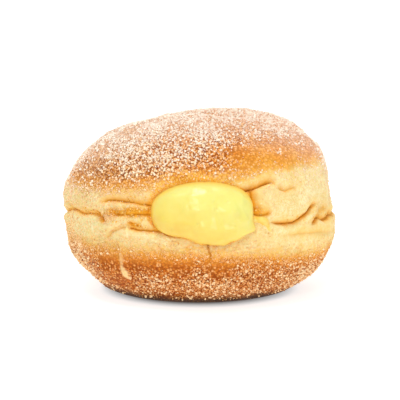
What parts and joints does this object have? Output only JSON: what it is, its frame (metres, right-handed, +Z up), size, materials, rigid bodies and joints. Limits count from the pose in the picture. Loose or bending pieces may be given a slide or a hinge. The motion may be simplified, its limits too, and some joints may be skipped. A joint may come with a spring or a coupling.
{
  "type": "custard filled doughnut",
  "caption": "Round sugared yeast doughnut with a pale folded belt, slit at the front with yellow custard welling out; a single food item that rests on its flat underside.",
  "frame": {"origin": "middle of the flat spot on the underside that the doughnut rests on", "axes": "+Z up; the slit with the custard faces -Y; +X is to the right when looking at the slit"},
  "size_m": [0.0905, 0.0921, 0.0593],
  "materials": {
    "fried_dough": "fried yeast dough: browned and sugared above and below, pale cream in the belt, matt",
    "custard": "thick yellow custard cream, smooth, with a soft wet sheen"
  },
  "bodies": {
    "root": {"dough": "fried_dough", "custard": "custard"}
  },
  "joints": []
}
